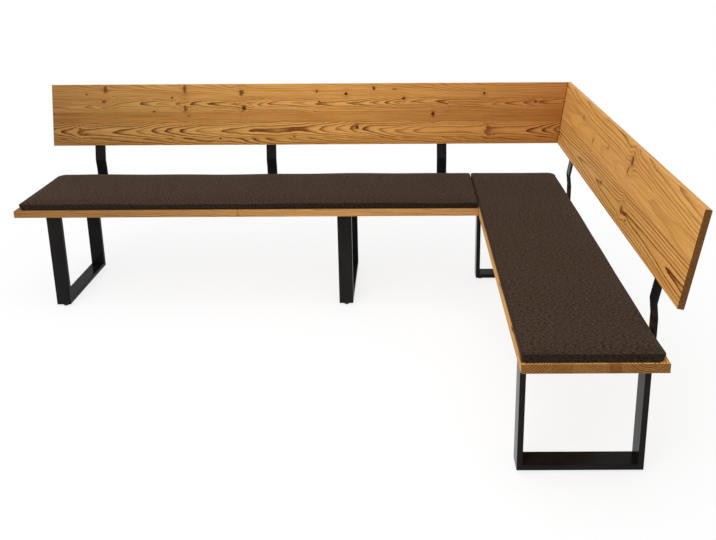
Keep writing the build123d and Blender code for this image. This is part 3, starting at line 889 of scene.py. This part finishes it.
def roundShell(points, low, high, outer):
    # Turns the box's edges and its corners in plan, and crowns its top. The outer corners are rounder, and
    # the front one is tucked in below.
    middle = np.array([(low.x + high.x) / 2, (low.y + high.y) / 2])
    half = np.array([(high.x - low.x) / 2, (high.y - low.y) / 2])
    plan = points[:, :2] - middle
    tall = high.z - low.z - pads["crown"]
    edge = pads["edge"]
    outerCorner = np.where(
        plan[:, 1:] > 0, pads["rearCorner"], pads["corner"] + pads["tuck"] * (1.0 - points[:, 2:] / tall))
    corner = np.where(plan[:, :1] * outer > 0, outerCorner, pads["corner"])
    section = np.stack([(half - np.abs(plan)).min(axis=1), points[:, 2]], axis=1)
    inner = np.stack([np.maximum(section[:, 0], edge), np.clip(section[:, 1], edge, tall - edge)], axis=1)
    reach = section - inner
    section = inner + edge * reach / np.linalg.norm(reach, axis=1, keepdims=True)
    beyond = np.maximum(np.abs(plan) - (half - corner), 0.0)
    length = np.linalg.norm(beyond, axis=1, keepdims=True)
    turned = beyond / np.maximum(length, 1e-9) * (corner - section[:, :1])
    kept = np.minimum(np.abs(plan), half - corner)
    plan = np.where(length > 0, np.sign(plan) * (kept + turned), plan)
    rise = 1.0 - (1.0 - np.clip(section[:, 0] / pads["crownRun"], 0.0, 1.0)) ** 2
    height = section[:, 1] + pads["crown"] * rise * section[:, 1] / tall
    return np.column_stack([plan + middle, height + low.z])


def swell(piece):
    # Presses the cover outwards from its foam, and keeps each point near where it started.
    start = readPoints(piece)
    cloth = piece.modifiers.new("swell", "CLOTH")
    settings = cloth.settings
    settings.use_pressure = True
    settings.uniform_pressure_force = pads["pressure"]
    settings.effector_weights.gravity = 0.0
    settings.quality = pads["quality"]
    settings.tension_stiffness = pads["stiffness"]
    settings.compression_stiffness = pads["stiffness"]
    settings.bending_stiffness = pads["bending"]
    cloth.point_cache.frame_end = pads["frames"]
    for step in range(1, pads["frames"] + 1):
        scene.frame_set(step)
    bake(piece)
    scene.frame_set(1)
    moved = readPoints(piece) - start
    length = np.linalg.norm(moved, axis=1, keepdims=True)
    print("swelling of", piece.name, "up to", round(float(length.max()), 4))
    moved *= np.minimum(1.0, pads["cap"] / np.maximum(length, 1e-9))
    writePoints(piece, start + moved)


def runCloth(piece, low, high):
    # Lays the cloth's own run over the pad: flat on top, and on down over the rounded edges.
    points = readPoints(piece)
    drop = high.z - points[:, 2]
    inset = np.stack([
        points[:, 0] - low.x, high.x - points[:, 0], points[:, 1] - low.y, high.y - points[:, 1]])
    nearest = inset.argmin(axis=0)
    over = np.clip(1.0 - inset.min(axis=0) / pads["drape"], 0.0, 1.0) * drop
    run = points[:, :2].copy()
    for side, (axis, way) in enumerate(((0, -1), (0, 1), (1, -1), (1, 1))):
        chosen = nearest == side
        run[chosen, axis] += way * over[chosen]
    layer = piece.data.uv_layers.new(name="clothRun")
    corners = np.empty(len(piece.data.loops), dtype=np.int32)
    piece.data.loops.foreach_get("vertex_index", corners)
    layer.data.foreach_set("uv", run[corners].ravel())


def settle(points, ring, low, high):
    # Fills the room that the cover has, lies flat on the board, and draws the seam in.
    bottom, top = points.min(axis=0)[:2], points.max(axis=0)[:2]
    plan = np.array([(low.x, low.y), (high.x, high.y)])
    points[:, :2] = plan[0] + (points[:, :2] - bottom) * ((plan[1] - plan[0]) / (top - bottom))
    share = np.clip((points[:, 2] - low.z) / (high.z - low.z), 0.0, 1.0)
    along = points[:, 0] if plan[1][0] - plan[0][0] > plan[1][1] - plan[0][1] else points[:, 1]
    rate, start = pads["longWave"]
    wave = np.sin(along * rate + start)
    rate, rateX, rateY = pads["shortWave"]
    wave += pads["shortShare"] * np.sin(along * rate + points[:, 0] * rateX + points[:, 1] * rateY)
    points[:, 2] += wave * share * pads["wave"]
    points[:, 2] = np.maximum(points[:, 2], low.z + pads["clear"])
    middle = (plan[0] + plan[1]) / 2
    half = (plan[1] - plan[0]) / 2
    inward = np.clip((np.abs(points[ring, :2] - middle) - half) / pads["corner"] + 1.0, 0.0, 1.0)
    inward /= np.maximum(np.linalg.norm(inward, axis=1, keepdims=True), 1e-9)
    points[ring, :2] -= np.sign(points[ring, :2] - middle) * inward * pads["seam"]
    return points


def finishPad(piece, body):
    piece.data.materials.clear()
    piece.data.materials.append(brownMelange)
    piece.data.polygons.foreach_set("use_smooth", [True] * len(piece.data.polygons))
    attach(piece, body)


def seatPad(name, kind):
    body = kind["body"]
    low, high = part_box(body + "_cover")
    low.y -= kind["frontReach"]
    if kind["outer"] < 0:
        high.x += pads["jointReach"]
    else:
        low.x -= pads["jointReach"]
    points, faces, ring = padShell(low, high)
    piece = newPiece(name, roundShell(points, low, high, kind["outer"]), faces.tolist())
    swell(piece)
    writePoints(piece, settle(readPoints(piece), ring, low, high))
    runCloth(piece, low, high)
    finishPad(piece, body)
    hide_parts(body + "_cover", body + "_foam")
    return readPoints(piece)[ring]


stitch = {"Pitch": 0.0052, "Length": 0.0036, "Thickness": 0.0009}
spunThread = {
    "colours": (fabric["dark"], fabric["light"]),
    "cloud": ((900.0, 900.0, 900.0), 2.0),
    "plain": {"Roughness": 0.9, "Specular IOR Level": fabric["gloss"]},
}


def makeStitchTree():
    tree, given = newShapeTree("seamStitches", stitch)
    line = shapeNode(tree, "MeshToCurve", {"Mesh": given["Geometry"]})
    line = shapeNode(tree, "ResampleCurve", {"Curve": line, "Length": given["Pitch"]}, mode="LENGTH")
    loop = shapeNode(tree, "MeshUVSphere", {"Segments": 6, "Rings": 4, "Radius": 0.5})
    size = combine(tree, given["Thickness"], given["Thickness"], given["Length"])
    turn = facing(tree, shapeNode(tree, "InputTangent", {}))
    stitches = shapeNode(tree, "InstanceOnPoints", {
        "Points": line, "Instance": loop, "Rotation": turn, "Scale": size})
    endTree(tree, given["Material"], stitches)
    return tree


stitchTree = makeStitchTree()
thread = finishMaterial("spunThread", spunThread)
for name, kind in padKinds.items():
    seam = seatPad(name, kind)
    rounds = [(i, (i + 1) % len(seam)) for i in range(len(seam))]
    piece = newPiece(name + "Stitches", seam, [], rounds)
    grow(piece, stitchTree, {**stitch, "Material": thread})
    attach(piece, kind["body"])
print("seat pads made")


# Floor, light and camera

stage = {
    "floorSize": 40.0, "floorColour": (0.93, 0.93, 0.93), "ambient": 0.66,
    "nearWhite": 0.80, "whiteFrom": 1.3, "whiteTo": 2.4, "lampAim": (0.0, 0.0, 0.5),
}
lamps = {
    "softKey": {"place": (-1.6, -3.2, 3.6), "size": 3.0, "power": 110.0},
    "softTop": {"place": (0.2, -0.4, 4.2), "size": 3.5, "power": 60.0},
}


def whiteShare(tree):
    # Rays from the camera, and those mirrored or let through, see the plain white ground.
    path = tree.nodes.new("ShaderNodeLightPath")
    seen = calc(tree, "MAXIMUM", path.outputs["Is Camera Ray"], path.outputs["Is Glossy Ray"])
    return calc(tree, "MAXIMUM", seen, path.outputs["Is Transmission Ray"])


def makeFloor():
    half = stage["floorSize"] / 2
    corners = [(-half, -half, 0), (half, -half, 0), (half, half, 0), (-half, half, 0)]
    floor = newPiece("paleFloor", corners, [(0, 1, 2, 3)])
    material, tree, shader = newMaterial("paleGround", **{
        "Base Color": (*stage["floorColour"], 1.0), "Roughness": 1.0, "Specular IOR Level": 0.0})
    glow = tree.nodes.new("ShaderNodeEmission")
    blend = tree.nodes.new("ShaderNodeMixShader")
    away = vectorCalc(tree, "LENGTH", objectPlace(tree))
    share = ease(tree, away, stage["whiteFrom"], stage["whiteTo"])
    share = calc(tree, "MULTIPLY_ADD", share, 1.0 - stage["nearWhite"], stage["nearWhite"])
    tree.links.new(times(tree, whiteShare(tree), share), blend.inputs[0])
    tree.links.new(shader.outputs[0], blend.inputs[1])
    tree.links.new(glow.outputs[0], blend.inputs[2])
    tree.links.new(blend.outputs[0], tree.nodes["Material Output"].inputs["Surface"])
    floor.data.materials.append(material)


def makeWorld():
    world = bpy.data.worlds.new("studio")
    world.use_nodes = True
    tree = world.node_tree
    background = tree.nodes["Background"]
    background.inputs["Color"].default_value = (1.0, 1.0, 1.0, 1.0)
    level = calc(tree, "MULTIPLY_ADD", whiteShare(tree), 1.0 - stage["ambient"], stage["ambient"])
    tree.links.new(level, background.inputs["Strength"])
    scene.world = world


def makeLamp(name, lamp):
    light = bpy.data.lights.new(name, "AREA")
    light.shape = "SQUARE"
    light.size = lamp["size"]
    light.energy = lamp["power"]
    piece = bpy.data.objects.new(name, light)
    piece.location = lamp["place"]
    aim = Vector(stage["lampAim"]) - Vector(lamp["place"])
    piece.rotation_euler = aim.to_track_quat("-Z", "Y").to_euler()
    scene.collection.objects.link(piece)


makeFloor()
makeWorld()
for name, lamp in lamps.items():
    makeLamp(name, lamp)

photo = {"width": 716, "height": 540, "sensor": 36.0}
view = {
    "place": (0.4195, -2.4799, 1.5804),
    "focal": 719.47,
    "centre": (401.55, 104.0),
    "pitch": 0.2392, "yaw": -0.0021, "roll": 0.0060,
}


def makeCamera():
    # The place, turn and lens that put the bench's measured edges where the photograph has them.
    pitch, yaw, roll = view["pitch"], view["yaw"], view["roll"]
    ahead = Vector((math.sin(yaw) * math.cos(pitch), math.cos(yaw) * math.cos(pitch), -math.sin(pitch)))
    level = Vector((math.cos(yaw), -math.sin(yaw), 0.0))
    below = ahead.cross(level)
    right = math.cos(roll) * level + math.sin(roll) * below
    down = -math.sin(roll) * level + math.cos(roll) * below
    data = bpy.data.cameras.new("photoCamera")
    data.sensor_width = photo["sensor"]
    data.lens = view["focal"] * photo["sensor"] / photo["width"]
    data.shift_x = (photo["width"] / 2 - view["centre"][0]) / photo["width"]
    data.shift_y = (view["centre"][1] - photo["height"] / 2) / photo["width"]
    camera = bpy.data.objects.new("photoCamera", data)
    turn = Matrix([right, -down, -ahead]).transposed().to_4x4()
    camera.matrix_world = Matrix.Translation(view["place"]) @ turn
    scene.collection.objects.link(camera)
    scene.camera = camera


makeCamera()
print("stage and camera set")
